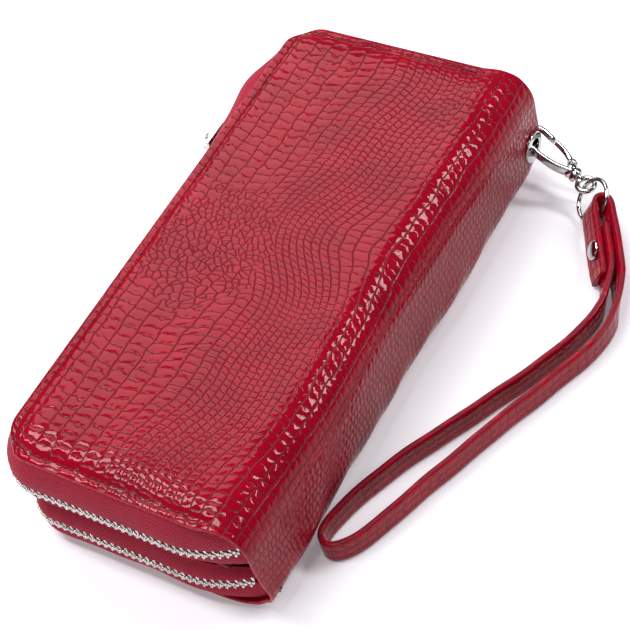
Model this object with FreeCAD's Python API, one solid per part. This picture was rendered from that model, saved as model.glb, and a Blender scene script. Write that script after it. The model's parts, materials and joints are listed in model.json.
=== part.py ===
import FreeCAD, Part
import math
import os

# A long wallet with two zipped compartments, a rolled leather spine and a wrist strap on a
# snap hook.  Millimetres.  +Y runs along the wallet towards the strap, +X towards the spine,
# +Z up.  The origin is the middle of the underside that the wallet lies on.

V = FreeCAD.Vector
UP = V(0, 0, 1)
ALONG = V(0, 1, 0)
ACROSS = V(1, 0, 0)

# ---- driving dimensions ---------------------------------------------------------------
wallet_length = 195.0
wallet_width = 92.0
wallet_height = 48.0
cover_corner_radius = 12.0
roll_radius = 14.0            # rounding of the spine, top and bottom
leather = 1.4
spine_leather = 1.6

board = 1.0
padding = 1.4
lining = 0.5
pocket = 0.6

lower_hinge_height = 25.0     # crease of the spine that opens the lower compartment
upper_hinge_height = 33.0     # crease that opens the upper compartment
divider_height = 19.6         # underside of the divider between the compartments

lower_chain_height = 10.5
upper_chain_height = 29.0
lower_bulge = 0.8             # how far the tapes stand out past the cover
upper_bulge = 1.2
upper_side_bulge = 2.6        # the upper tape bellies out along the long side
tape_thickness = 0.8
chain_end = 36.0              # x where the tapes tuck into the spine
tooth_pitch = 2.7
tooth_length = 1.3            # along the chain
tooth_height = 2.3            # across the chain
tooth_depth = 1.9             # through the tape
web_gap = 0.6                 # half the slot between the rows that the slider's web runs in
tape_to_centre = 1.0

slider_length = 10.5
slider_width = 9.0
slider_plate = 1.3
inner_plate_width = 5.8
slider_gap = 0.5
upper_slider_place = 50.0
lower_slider_place = 35.0
puller_length = 21.0
puller_width = 6.0
puller_thickness = 1.3

eyelet_along = 91.3
eyelet_height = 18.5
eyelet_hole = 3.3
eyelet_barrel_wall = 0.7
eyelet_flange = 5.7
flange_thickness = 0.7
washer_radius = 5.0

bridge_clear = 1.7            # under a slider's bridge
bridge_thick = 1.1
blade_corner = 1.8

hook_bar = 1.3                # radius of the hook's round bar
hook_spread = 8.8             # between the two arms
hook_slope = math.radians(26.0)
hook_skew = math.radians(15.0)
collar_start = 15.5
collar_end = 18.8
swivel_reach = 22.6
swivel_eye_radius = 3.0
swivel_wire = 1.0

ring_radius = 7.3
ring_wire = 0.8
ring_heading = math.radians(-48.0)
strap_heading = math.radians(-60.0)

strap_width = 9.6
strap_thickness = 2.2
strap_layer = 3.0             # from the middle of one layer to the next, at the rivet
strap_floor = strap_width / 2 + 0.1
rivet_along = 15.5
rivet_head = 3.5
rivet_shank = 1.1
rivet_head_height = 1.1
fit = 0.05                    # running fit, on the radius
clearance = 0.3

half_length = wallet_length / 2
half_width = wallet_width / 2
roll_start = half_width - roll_radius
cover_left = -half_width


def export(name, solids):
    """Write one node: a single solid or a group of separate ones."""
    shape = solids[0] if len(solids) == 1 else Part.makeCompound(solids)
    shape.exportStep("parts/" + name + ".step")
    print(name, "solids", len(shape.Solids), "volume", round(shape.Volume, 1))


# ---- outlines -------------------------------------------------------------------------
def cover_outline(inset, right_edge, z):
    """Plate outline, round at the two corners away from the spine."""
    radius = cover_corner_radius - inset
    left = cover_left + inset
    near = -half_length + inset
    far = half_length - inset
    slant = radius * (1 - math.sqrt(0.5))
    near_arc = Part.Arc(
        V(left + radius, near, z), V(left + slant, near + slant, z), V(left, near + radius, z)
    )
    far_arc = Part.Arc(
        V(left, far - radius, z), V(left + slant, far - slant, z), V(left + radius, far, z)
    )
    edges = [
        Part.LineSegment(V(right_edge, near, z), V(left + radius, near, z)),
        near_arc,
        Part.LineSegment(V(left, near + radius, z), V(left, far - radius, z)),
        far_arc,
        Part.LineSegment(V(left + radius, far, z), V(right_edge, far, z)),
        Part.LineSegment(V(right_edge, far, z), V(right_edge, near, z)),
    ]
    return Part.Wire([e.toShape() for e in edges])


def plate(inset, right_edge, bottom, thickness):
    return Part.Face(cover_outline(inset, right_edge, bottom)).extrude(V(0, 0, thickness))


def slab(x0, x1, y0, y1, bottom, thickness):
    return Part.makeBox(x1 - x0, y1 - y0, thickness, V(x0, y0, bottom))


def chain_frame(side_out, end_out):
    """Left line, end lines and corner radius of a chain standing out past the cover."""
    left = cover_left - side_out
    reach = half_length + end_out
    return left, reach, cover_corner_radius


def band_wire(side_out, end_out, thickness, z):
    """Closed outline of a U-shaped band, open at the spine."""
    left, reach, radius = chain_frame(side_out, end_out)
    slant = radius * (1 - math.sqrt(0.5))
    inner_left = left + thickness
    inner_reach = reach - thickness
    inner_radius = radius - thickness
    inner_slant = inner_radius * (1 - math.sqrt(0.5))

    def run(l, r, rad, sl, sign):
        far_or_near = sign * r
        return [
            V(chain_end, far_or_near, z),
            V(l + rad, far_or_near, z),
            V(l + sl, sign * (r - sl), z),
            V(l, sign * (r - rad), z),
        ]

    near_out = run(left, reach, radius, slant, -1)
    far_out = run(left, reach, radius, slant, 1)
    near_in = run(inner_left, inner_reach, inner_radius, inner_slant, -1)
    far_in = run(inner_left, inner_reach, inner_radius, inner_slant, 1)
    edges = [
        Part.LineSegment(near_out[0], near_out[1]),
        Part.Arc(near_out[1], near_out[2], near_out[3]),
        Part.LineSegment(near_out[3], far_out[3]),
        Part.Arc(far_out[3], far_out[2], far_out[1]),
        Part.LineSegment(far_out[1], far_out[0]),
        Part.LineSegment(far_out[0], far_in[0]),
        Part.LineSegment(far_in[0], far_in[1]),
        Part.Arc(far_in[1], far_in[2], far_in[3]),
        Part.LineSegment(far_in[3], near_in[3]),
        Part.Arc(near_in[3], near_in[2], near_in[1]),
        Part.LineSegment(near_in[1], near_in[0]),
        Part.LineSegment(near_in[0], near_out[0]),
    ]
    return Part.Wire([e.toShape() for e in edges])


def tape(root_z, root_out, chain_z, side_out, end_out):
    """Zip tape: a U-shaped wall from where it is sewn in to the edge beside the teeth."""
    first = band_wire(root_out, root_out, tape_thickness, root_z)
    second = band_wire(side_out, end_out, tape_thickness, chain_z)
    return Part.makeLoft([first, second], True, True)


def chain_place(distance, side_out, end_out):
    """Place and heading of the chain at a distance from its near end."""
    left, reach, radius = chain_frame(side_out, end_out)
    straight = chain_end - (left + radius)
    arc = radius * math.pi / 2
    side = 2 * (reach - radius)
    if distance < straight:
        return V(chain_end - distance, -reach, 0), math.pi
    distance -= straight
    if distance < arc:
        turn = distance / radius
        centre = V(left + radius, -reach + radius, 0)
        return centre + V(-math.sin(turn), -math.cos(turn), 0) * radius, math.pi - turn
    distance -= arc
    if distance < side:
        return V(left, -reach + radius + distance, 0), math.pi / 2
    distance -= side
    if distance < arc:
        turn = distance / radius
        centre = V(left + radius, reach - radius, 0)
        return centre + V(-math.cos(turn), math.sin(turn), 0) * radius, math.pi / 2 - turn
    return V(left + radius + distance - arc, reach, 0), 0.0


def chain_length(side_out, end_out):
    left, reach, radius = chain_frame(side_out, end_out)
    return 2 * (chain_end - left - radius) + math.pi * radius + 2 * (reach - radius)


def teeth(chain_z, side_out, end_out, above):
    """One row of separate metal teeth, above or below the chain's middle line."""
    total = chain_length(side_out, end_out)
    count = int(total // tooth_pitch) - 1
    start = (total - (count - 1) * tooth_pitch) / 2
    bottom = chain_z + web_gap if above else chain_z - web_gap - tooth_height
    row = []
    for number in range(count):
        offset = 0.0 if above else tooth_pitch / 2
        distance = start + number * tooth_pitch + offset - tooth_pitch / 4
        spot, heading = chain_place(distance, side_out - tape_thickness / 2, end_out - tape_thickness / 2)
        tooth = Part.makeBox(
            tooth_length, tooth_depth, tooth_height, V(-tooth_length / 2, -tooth_depth / 2, 0)
        )
        tooth.rotate(V(0, 0, 0), UP, math.degrees(heading))
        tooth.translate(V(spot.x, spot.y, bottom))
        row.append(tooth)
    return row


def cut_tape(band, chain_z, side_out, end_out, above):
    """Take the space of the teeth out of the tape they clamp."""
    low = chain_z + web_gap if above else chain_z - web_gap - tooth_height
    slot_bottom = low - tooth_height if above else low
    height = 2 * tooth_height
    outer = band_wire(side_out + tooth_depth, end_out + tooth_depth, 3 * tooth_depth, slot_bottom)
    block = Part.Face(outer).extrude(V(0, 0, height))
    return band.cut(block)


# ---- spine ----------------------------------------------------------------------------
def roll_shell(low_side):
    """Quarter-round of spine leather plus its flat stretch up or down to the crease."""
    sign = 1 if low_side else -1
    base = 0.0 if low_side else wallet_height
    crease = lower_hinge_height if low_side else upper_hinge_height
    inner = roll_radius - spine_leather
    diagonal = math.sqrt(0.5)
    centre = V(roll_start, -half_length, base + sign * roll_radius)

    def at(x, z):
        return V(x, -half_length, z)

    outer_arc = Part.Arc(
        at(roll_start, base),
        centre + V(roll_radius * diagonal, 0, -sign * roll_radius * diagonal),
        at(half_width, base + sign * roll_radius),
    )
    inner_arc = Part.Arc(
        at(half_width - spine_leather, base + sign * roll_radius),
        centre + V(inner * diagonal, 0, -sign * inner * diagonal),
        at(roll_start, base + sign * spine_leather),
    )
    edges = [
        outer_arc,
        Part.LineSegment(at(half_width, base + sign * roll_radius), at(half_width, crease)),
        Part.LineSegment(at(half_width, crease), at(half_width - spine_leather, crease)),
        Part.LineSegment(
            at(half_width - spine_leather, crease),
            at(half_width - spine_leather, base + sign * roll_radius),
        ),
        inner_arc,
        Part.LineSegment(at(roll_start, base + sign * spine_leather), at(roll_start, base)),
    ]
    face = Part.Face(Part.Wire([e.toShape() for e in edges]))
    return face.extrude(V(0, wallet_length, 0))


def make_covers():
    """Both covers: leather, board, padding, lining and slip pocket, then the spine leather."""
    layers = [
        ("panel_leather", 0.0, 0.0, leather, roll_start),
        ("board", 3.0, leather, board, roll_start - 2.0),
        ("padding", 3.5, leather + board, padding, roll_start - 2.5),
        ("lining", 3.0, leather + board + padding, lining, roll_start - 2.0),
    ]
    stack = leather + board + padding + lining
    for side in ("lower", "upper"):
        for name, inset, height, thickness, right in layers:
            bottom = height if side == "lower" else wallet_height - height - thickness
            export(side + "_" + name, [plate(inset, right, bottom, thickness)])
        bottom = stack if side == "lower" else wallet_height - stack - pocket
        slip = slab(
            cover_left + 18.0, roll_start - 8.0, -half_length + 8.0, half_length - 8.0, bottom, pocket
        )
        export(side + "_slip_pocket", [slip])
    hole = Part.makeCylinder(
        eyelet_hole + eyelet_barrel_wall + fit,
        4 * spine_leather,
        V(half_width - 2 * spine_leather, eyelet_along, eyelet_height),
        ACROSS,
    )
    export("lower_roll_leather", [roll_shell(True).cut(hole)])
    export("upper_roll_leather", [roll_shell(False)])
    band_gap = 0.02
    band = slab(
        half_width - spine_leather,
        half_width,
        -half_length,
        half_length,
        lower_hinge_height + band_gap,
        upper_hinge_height - lower_hinge_height - 2 * band_gap,
    )
    export("spine_band_leather", [band])


def make_divider():
    """Divider between the compartments, its card pockets, and the gussets at the spine."""
    right = roll_start + 1.0
    inset = 3.0
    export("divider_lining_bottom", [plate(inset, right, divider_height, lining)])
    export("divider_board", [plate(inset, right, divider_height + lining, board)])
    top = divider_height + lining + board
    export("divider_lining_top", [plate(inset, right, top, lining)])
    bank_gap = 3.0
    margin = 9.0
    step = 15.0
    cards = 3
    mouth = cover_left + 14.0
    for bank, sign in (("near", -1), ("far", 1)):
        for number in range(cards):
            y0, y1 = sorted((sign * bank_gap, sign * (half_length - margin)))
            bottom = top + lining + number * pocket
            x0 = mouth + number * step
            sheet = slab(x0, right - 4.0, y0, y1, bottom, pocket)
            export("card_pocket_" + bank + "_" + str(number + 1), [sheet])
    gusset_reach = half_length - 6.0
    cover_stack = leather + board + padding + lining
    wall = 0.6
    gusset_x = roll_start + 1.6
    lower = slab(
        gusset_x, gusset_x + wall, -gusset_reach, gusset_reach,
        cover_stack, divider_height - cover_stack - clearance,
    )
    export("lower_gusset", [lower])
    upper = slab(
        gusset_x, gusset_x + wall, -gusset_reach, gusset_reach,
        divider_height, wallet_height - cover_stack - clearance - divider_height,
    )
    shelf = slab(
        gusset_x + wall, half_width - spine_leather, -gusset_reach, gusset_reach,
        lower_hinge_height + 2.0, wall,
    )
    export("upper_gusset", [upper.fuse(shelf).removeSplitter()])


def make_zips():
    """Two zips, each with two tapes, two rows of teeth and end stops."""
    stack = leather + board + padding + lining
    sew = 0.9
    middle_low = divider_height - 0.2
    middle_high = divider_height + 2 * lining + board + 0.2
    top = wallet_height - stack + sew
    low, high = lower_chain_height, upper_chain_height
    rows = [
        ("lower_zip_bottom", stack - sew, -0.8, low, lower_bulge, lower_bulge, False),
        ("lower_zip_top", middle_low, -0.8, low, lower_bulge, lower_bulge, True),
        ("upper_zip_bottom", middle_high, 0.4, high, upper_side_bulge, upper_bulge, False),
        ("upper_zip_top", top, -0.8, high, upper_side_bulge, upper_bulge, True),
    ]
    for name, root, root_out, chain, side_out, end_out, above in rows:
        edge = chain + tape_to_centre if above else chain - tape_to_centre
        band = tape(root, root_out, edge, side_out, end_out)
        export(name + "_tape", [cut_tape(band, chain, side_out, end_out, above)])
        export(name + "_teeth", teeth(chain, side_out, end_out, above))


# ---- sliders --------------------------------------------------------------------------
def slider(chain_z, side_out, place):
    """Two plates joined by a web, with a bridge for the pull."""
    middle = cover_left - side_out + tape_thickness / 2
    tooth_face = middle - tooth_depth / 2
    outer = slab(
        tooth_face - slider_gap - slider_plate, tooth_face - slider_gap,
        place - slider_length / 2, place + slider_length / 2,
        chain_z - slider_width / 2, slider_width,
    )
    inner_face = middle + tooth_depth / 2
    inner = slab(
        inner_face + slider_gap, inner_face + slider_gap + slider_plate,
        place - slider_length / 2, place + slider_length / 2,
        chain_z - inner_plate_width / 2, inner_plate_width,
    )
    web_half = web_gap - 0.1
    web = slab(
        tooth_face - slider_gap - slider_plate / 2, inner_face + slider_gap + slider_plate / 2,
        place - 1.5, place + 3.5,
        chain_z - web_half, 2 * web_half,
    )
    bar_out = tooth_face - slider_gap - slider_plate
    bridge_half = 4.4
    foot = 1.4
    bridge = slab(
        bar_out - bridge_clear - bridge_thick, bar_out + slider_plate / 2,
        place - bridge_half, place + bridge_half, chain_z - 1.1, 2.2,
    )
    void = slab(
        bar_out - bridge_clear, bar_out,
        place - bridge_half + foot, place + bridge_half - foot, chain_z - 1.2, 2.4,
    )
    body = outer.fuse([inner, web, bridge.cut(void)]).removeSplitter()
    return body, bar_out


def hanging_pull(bar_out, place, chain_z):
    """Pull with a round eye over the bridge, hanging down."""
    bridge_middle = bar_out - bridge_clear - bridge_thick / 2
    eye_outer = 2.1
    eye_inner = 1.45
    eye_width = 1.5
    disc = Part.makeCylinder(eye_outer, eye_width, V(bridge_middle, place - eye_width / 2, chain_z), ALONG)
    neck = slab(
        bridge_middle - puller_thickness / 2, bridge_middle + puller_thickness / 2,
        place - eye_width / 2, place + eye_width / 2, chain_z - eye_outer - 2.0, 2.4,
    )
    blade = slab(
        bridge_middle - puller_thickness / 2, bridge_middle + puller_thickness / 2,
        place - puller_width / 2, place + puller_width / 2,
        chain_z - puller_length, puller_length - eye_outer - 1.0,
    )
    blade = blade.makeFillet(blade_corner, [e for e in blade.Edges if is_along(e, ACROSS)])
    hole = Part.makeCylinder(eye_inner, 2 * eye_width, V(bridge_middle, place - eye_width, chain_z), ALONG)
    return disc.fuse([neck, blade]).removeSplitter().cut(hole), bridge_middle


def flat_pull(bar_out, place, chain_z):
    """Pull with a cross-bar under the bridge, lying along the chain."""
    pivot_x = bar_out - bridge_clear / 2
    bar_radius = 0.6
    leg_gap = 1.6
    leg = 1.1
    leg_reach = 6.0
    bar = Part.makeCylinder(bar_radius, 2 * (leg_gap + leg), V(pivot_x, place, chain_z - leg_gap - leg), UP)
    pieces = [bar]
    for low in (chain_z - leg_gap - leg, chain_z + leg_gap):
        pieces.append(
            slab(pivot_x - bar_radius, pivot_x + bar_radius, place - leg_reach, place, low, leg)
        )
    blade = slab(
        pivot_x - bar_radius, pivot_x + bar_radius,
        place - puller_length, place - leg_reach + 0.5,
        chain_z - puller_width / 2, puller_width,
    )
    blade = blade.makeFillet(blade_corner, [e for e in blade.Edges if is_along(e, ACROSS)])
    return pieces[0].fuse(pieces[1:] + [blade]).removeSplitter(), pivot_x


def is_along(edge, direction):
    first = edge.Vertexes[0].Point
    last = edge.Vertexes[-1].Point
    run = last.sub(first)
    return run.Length > 1e-6 and abs(abs(run.dot(direction)) - run.Length) < 1e-6


def make_sliders():
    upper, bar_out = slider(upper_chain_height, upper_side_bulge, upper_slider_place)
    export("upper_slider_body", [upper])
    pull, pivot = hanging_pull(bar_out, upper_slider_place, upper_chain_height)
    export("upper_pull_tab", [pull])
    print("upper pull turns about x", pivot, "z", upper_chain_height)
    lower, bar_out = slider(lower_chain_height, lower_bulge, lower_slider_place)
    export("lower_slider_body", [lower])
    pull, pivot = flat_pull(bar_out, lower_slider_place, lower_chain_height)
    export("lower_pull_tab", [pull])
    print("lower pull turns about x", pivot, "y", lower_slider_place)


# ---- eyelet and snap hook ---------------------------------------------------------------
def tube(radius, bore, start, length, axis):
    return Part.makeCylinder(radius, length, start, axis).cut(Part.makeCylinder(bore, length, start, axis))


def make_eyelet():
    """Pressed eyelet: a barrel with its outer flange, and the washer it is rolled over."""
    inner_face = half_width - spine_leather
    start = V(inner_face - flange_thickness, eyelet_along, eyelet_height)
    barrel_length = spine_leather + 2 * flange_thickness
    barrel = tube(eyelet_hole + eyelet_barrel_wall, eyelet_hole, start, barrel_length, ACROSS)
    face = V(half_width, eyelet_along, eyelet_height)
    flange = tube(eyelet_flange, eyelet_hole, face, flange_thickness, ACROSS)
    whole = barrel.fuse(flange).removeSplitter()
    rims = [e for e in whole.Edges if is_rim(e, eyelet_flange, half_width + flange_thickness)]
    export("eyelet_barrel", [whole.makeFillet(flange_thickness * 0.6, rims)])
    washer = tube(washer_radius, eyelet_hole + eyelet_barrel_wall, start, flange_thickness, ACROSS)
    export("eyelet_washer", [washer])


def is_rim(edge, radius, x):
    curve = edge.Curve
    if not isinstance(curve, Part.Circle):
        return False
    return abs(curve.Radius - radius) < 1e-6 and abs(curve.Center.x - x) < 1e-6


# The hook has its own axes: "out" along the hook, "side" towards the far end, "face" up.
hook_out = V(
    math.cos(hook_slope) * math.cos(hook_skew),
    -math.sin(hook_skew),
    -math.sin(hook_slope) * math.cos(hook_skew),
)
hook_side = V(
    math.cos(hook_slope) * math.sin(hook_skew),
    math.cos(hook_skew),
    -math.sin(hook_slope) * math.sin(hook_skew),
)
hook_face = hook_out.cross(hook_side)
hook_origin = V(half_width - spine_leather / 2, eyelet_along - 0.5, eyelet_height)
swivel_side = hook_spread / 2
nose_start = 1.0
gate_tip = 4.6
gate_pivot = 14.6


def on_hook(out, side, face=0.0):
    return hook_origin + hook_out * out + hook_side * side + hook_face * face


def swept(path_edges, radius, start, heading):
    wire = Part.Wire([e.toShape() for e in path_edges])
    ring = Part.Wire(Part.Circle(start, heading, radius).toShape())
    pipe = Part.BRepOffsetAPI.MakePipeShell(wire)
    pipe.add(ring)
    pipe.build()
    pipe.makeSolid()
    return pipe.shape()


def make_hook():
    """Snap hook: frame with its collar, sprung gate on a pin, and the turning eye."""
    shoulder = collar_start - 1.5
    yoke_length = 3.2
    yoke_height = 2.2
    lug_radius = 2.0
    collar_radius = 2.9
    lug_thick = 0.8
    lug_lift = 0.95
    nose = Part.Arc(
        on_hook(-nose_start, 0),
        on_hook(-nose_start - swivel_side, swivel_side),
        on_hook(-nose_start, hook_spread),
    )
    path = [
        Part.LineSegment(on_hook(shoulder, 0), on_hook(-nose_start, 0)),
        nose,
        Part.LineSegment(on_hook(-nose_start, hook_spread), on_hook(gate_tip - clearance, hook_spread)),
    ]
    bar = swept(path, hook_bar, on_hook(shoulder, 0), hook_out * -1)
    yoke = Part.makeBox(yoke_length, hook_spread - 0.4, yoke_height, V(0, 0, 0))
    yoke_bottom = on_hook(shoulder - 1.0, -0.8, -yoke_height / 2)
    turn = FreeCAD.Matrix(
        hook_out.x, hook_side.x, hook_face.x, yoke_bottom.x,
        hook_out.y, hook_side.y, hook_face.y, yoke_bottom.y,
        hook_out.z, hook_side.z, hook_face.z, yoke_bottom.z,
        0, 0, 0, 1,
    )
    yoke = yoke.transformGeometry(turn)
    collar_foot = on_hook(collar_start, swivel_side)
    collar = Part.makeCylinder(collar_radius, collar_end - collar_start, collar_foot, hook_out)
    lug = Part.makeCylinder(lug_radius, lug_thick, on_hook(gate_pivot, hook_spread, lug_lift), hook_face)
    lug_arm = Part.makeBox(yoke_length + 0.2, yoke_length, lug_thick, V(0, 0, 0))
    arm_corner = on_hook(gate_pivot - 1.0, hook_spread - collar_radius, lug_lift)
    turn_arm = FreeCAD.Matrix(turn)
    turn_arm.A14, turn_arm.A24, turn_arm.A34 = arm_corner.x, arm_corner.y, arm_corner.z
    lug_arm = lug_arm.transformGeometry(turn_arm)
    frame = bar.fuse([yoke, collar, lug, lug_arm])
    shank_radius = 1.25
    bore = Part.makeCylinder(shank_radius + fit, 12.0, on_hook(collar_start - 4.0, swivel_side), hook_out)
    head_room = Part.makeCylinder(2.2, 3.5, on_hook(collar_start - 3.9, swivel_side), hook_out)
    gate_room = Part.makeCylinder(2.3, 1.9, on_hook(gate_pivot, hook_spread, -1.3 + 0.35), hook_face)
    pin_radius = 0.6
    pin_hole = Part.makeCylinder(pin_radius, 4.0, on_hook(gate_pivot, hook_spread, -2.0), hook_face)
    frame = frame.cut(bore).cut(head_room).cut(gate_room).cut(pin_hole)
    solids = sorted(frame.Solids, key=lambda s: -s.Volume)
    export("hook_frame", [solids[0]])
    pin = Part.makeCylinder(pin_radius, 3.2, on_hook(gate_pivot, hook_spread, -1.3), hook_face)
    export("gate_pin", [pin])
    gate_half = 0.85
    gate_bar = Part.makeCylinder(
        gate_half, gate_pivot - gate_tip, on_hook(gate_tip, hook_spread), hook_out
    )
    gate_knuckle = Part.makeCylinder(1.9, 1.7, on_hook(gate_pivot, hook_spread, -0.85), hook_face)
    gate = gate_bar.fuse(gate_knuckle)
    pin_foot = on_hook(gate_pivot, hook_spread, -2.0)
    gate = gate.cut(Part.makeCylinder(pin_radius + fit, 4.0, pin_foot, hook_face))
    export("hook_gate", [gate])

    eye_centre = on_hook(swivel_reach, swivel_side)
    shank_start = collar_start - 0.1
    shank = Part.makeCylinder(
        shank_radius,
        swivel_reach - swivel_eye_radius - shank_start,
        on_hook(shank_start, swivel_side),
        hook_out,
    )
    head = Part.makeCylinder(2.0, 1.0, on_hook(collar_start - 1.4, swivel_side), hook_out)
    head_neck = Part.makeCylinder(shank_radius, 1.0, on_hook(collar_start - 1.0, swivel_side), hook_out)
    eye = Part.makeTorus(swivel_eye_radius, swivel_wire, eye_centre, UP)
    swivel = head.fuse([head_neck, shank, eye]).removeSplitter()
    export("swivel_eye", [swivel])
    print("swivel eye at", eye_centre)
    return eye_centre


# ---- ring and strap ---------------------------------------------------------------------
def make_ring(eye_centre):
    heading = V(math.cos(ring_heading), math.sin(ring_heading), 0)
    centre = V(eye_centre.x, eye_centre.y, ring_radius + ring_wire + 0.1) + heading * ring_radius
    normal = heading.cross(UP)
    export("strap_ring", [Part.makeTorus(ring_radius, ring_wire, centre, normal)])
    print("ring at", centre)
    return centre + heading * ring_radius


def strap_route(hold):
    """Middle line of the strap: tail, round the ring, out and back to the middle layer."""
    along = V(math.cos(strap_heading), math.sin(strap_heading), 0)
    across = V(-along.y, along.x, 0) * -1
    lift = hold.z

    def near_ring(distance, side):
        fall_start = 8.0
        fall_end = 30.0
        share = min(max((distance - fall_start) / (fall_end - fall_start), 0.0), 1.0)
        spot = hold + along * distance + across * side
        return V(spot.x, spot.y, lift + (strap_floor - lift) * share)

    tail = [(25.5, strap_layer), (15.0, strap_layer + 0.2), (4.5, strap_layer - 0.05)]
    eye = [(-2.2, 2.9), (-4.9, 1.6), (-4.9, -1.6), (-2.2, -2.9)]
    outward = [(4.5, 0.05 - strap_layer), (15.0, -strap_layer - 0.2), (24.5, -strap_layer - 0.2)]
    loop = [
        (96.0, 46.0), (95.4, 31.0), (88.4, 14.5), (78.0, -10.0), (67.5, -37.0),
        (61.2, -54.5), (57.2, -64.4), (51.8, -69.2), (47.4, -66.8), (47.6, -59.6),
        (51.2, -46.6), (59.8, -28.0), (72.4, -5.4), (82.4, 14.0), (89.4, 30.0), (91.8, 44.0),
    ]
    middle = [(24.5, 0.1), (15.5, -0.15), (6.5, 0.1)]
    points = [near_ring(*p) for p in tail + eye + outward]
    points += [V(x, y, strap_floor) for x, y in loop]
    points += [near_ring(*p) for p in middle]
    return points, along, across


def smooth_path(points):
    """Straight runs joined by tangent arcs as large as the runs allow."""
    edges = []
    here = points[0]
    length = 0.0
    smallest = None
    for before, corner, after in zip(points, points[1:], points[2:]):
        run_in = corner.sub(before)
        run_out = after.sub(corner)
        half_turn = run_in.getAngle(run_out) / 2
        cut = 0.45 * min(run_in.Length, run_out.Length)
        radius = cut / math.tan(half_turn)
        run_in.normalize()
        run_out.normalize()
        start = corner - run_in * cut
        end = corner + run_out * cut
        bisector = (run_out - run_in).normalize()
        sagitta = radius / math.cos(half_turn) - radius
        edges.append(Part.LineSegment(here, start))
        edges.append(Part.Arc(start, corner + bisector * sagitta, end))
        length += here.distanceToPoint(start) + radius * 2 * half_turn
        here = end
        smallest = radius if smallest is None else min(smallest, radius)
    edges.append(Part.LineSegment(here, points[-1]))
    length += here.distanceToPoint(points[-1])
    print("strap length", round(length, 1), "smallest radius", round(smallest, 2))
    return edges, length


def make_strap(hold):
    points, along, across = strap_route(hold)
    edges, length = smooth_path(points)
    wire = Part.Wire([e.toShape() for e in edges])
    heading = points[1].sub(points[0]).normalize()
    side = heading.cross(UP).normalize()
    rise = UP
    start = points[0]
    half_t = strap_thickness / 2
    half_w = strap_width / 2
    corners = [
        start + side * half_t + rise * half_w,
        start - side * half_t + rise * half_w,
        start - side * half_t - rise * half_w,
        start + side * half_t - rise * half_w,
    ]
    section = Part.makePolygon(corners + corners[:1])
    pipe = Part.BRepOffsetAPI.MakePipeShell(wire)
    pipe.setBiNormalMode(UP)
    pipe.add(section)
    pipe.build()
    pipe.makeSolid()
    strap = pipe.shape()
    spot = hold + along * rivet_along
    lift = hold.z + (strap_floor - hold.z) * (rivet_along - 8.0) / 22.0
    centre = V(spot.x, spot.y, lift)
    reach = strap_layer + 0.2 + half_t
    drill = Part.makeCylinder(rivet_shank + fit, 4 * reach, centre - across * (2 * reach), across)
    export("strap_leather", [strap.cut(drill)])
    post = Part.makeCylinder(rivet_shank, 2 * reach + 0.6, centre - across * (reach + 0.3), across)
    export("strap_rivet_post", [post])
    caps = []
    for sign in (1, -1):
        seat = centre + across * (sign * reach)
        head = Part.makeCylinder(rivet_head, rivet_head_height, seat, across * sign)
        rims = [e for e in head.Edges if isinstance(e.Curve, Part.Circle)]
        outer = max(rims, key=lambda e: sign * e.Curve.Center.dot(across))
        head = head.makeFillet(rivet_head_height * 0.6, [outer])
        caps.append(head.cut(post))
    export("strap_rivet_caps", caps)


os.makedirs("parts", exist_ok=True)
make_covers()
make_divider()
make_zips()
make_sliders()
make_eyelet()
strap_eye = make_ring(make_hook())
make_strap(strap_eye)
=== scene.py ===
# %% [markdown]
# A long wallet in red patent leather with two zips and a wrist strap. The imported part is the
# fixed frame: it says where each piece is and what turns on what. Everything soft is built
# here round it, and so are the hook, the ring, the rivet and the zips' teeth. The eyelet, the
# turning eye, the sliders and the pulls keep the part's own shapes.

# %% The frame
import json
import math

import bmesh
import bpy
import numpy as np
from mathutils import Matrix, Vector

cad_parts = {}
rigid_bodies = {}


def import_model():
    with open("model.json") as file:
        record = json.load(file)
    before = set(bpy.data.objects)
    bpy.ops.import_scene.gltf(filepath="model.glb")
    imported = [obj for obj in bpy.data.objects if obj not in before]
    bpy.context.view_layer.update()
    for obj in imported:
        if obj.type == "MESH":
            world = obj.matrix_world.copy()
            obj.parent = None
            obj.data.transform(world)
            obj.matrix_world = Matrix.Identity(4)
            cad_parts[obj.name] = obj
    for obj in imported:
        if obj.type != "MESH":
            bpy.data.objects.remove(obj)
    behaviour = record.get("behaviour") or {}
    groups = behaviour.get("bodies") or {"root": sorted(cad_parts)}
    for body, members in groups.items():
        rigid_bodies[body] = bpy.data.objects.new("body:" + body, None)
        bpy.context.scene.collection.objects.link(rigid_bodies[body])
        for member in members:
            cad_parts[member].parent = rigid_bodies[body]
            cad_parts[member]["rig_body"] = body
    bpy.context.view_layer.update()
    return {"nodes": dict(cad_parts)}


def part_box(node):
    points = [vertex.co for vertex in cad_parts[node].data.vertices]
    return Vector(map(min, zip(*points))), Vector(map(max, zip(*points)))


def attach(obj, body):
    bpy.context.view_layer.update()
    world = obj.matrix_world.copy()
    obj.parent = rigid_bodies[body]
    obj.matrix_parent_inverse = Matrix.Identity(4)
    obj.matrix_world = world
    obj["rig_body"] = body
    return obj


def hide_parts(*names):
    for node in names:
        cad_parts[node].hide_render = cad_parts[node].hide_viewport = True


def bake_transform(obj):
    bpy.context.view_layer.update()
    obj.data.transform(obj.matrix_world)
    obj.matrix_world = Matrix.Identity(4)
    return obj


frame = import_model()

MM = 0.001
body_of_node = {n: o["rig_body"] for n, o in frame["nodes"].items()}


def box_mm(node):
    low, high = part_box(node)
    return np.array(low) / MM, np.array(high) / MM


print("pieces in the frame:", len(frame["nodes"]))

# %% [markdown]
# The camera stands about 0.6 m away with a long lens, tipped a little, so that the
# wallet lies across the picture from lower left to upper right.

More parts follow.
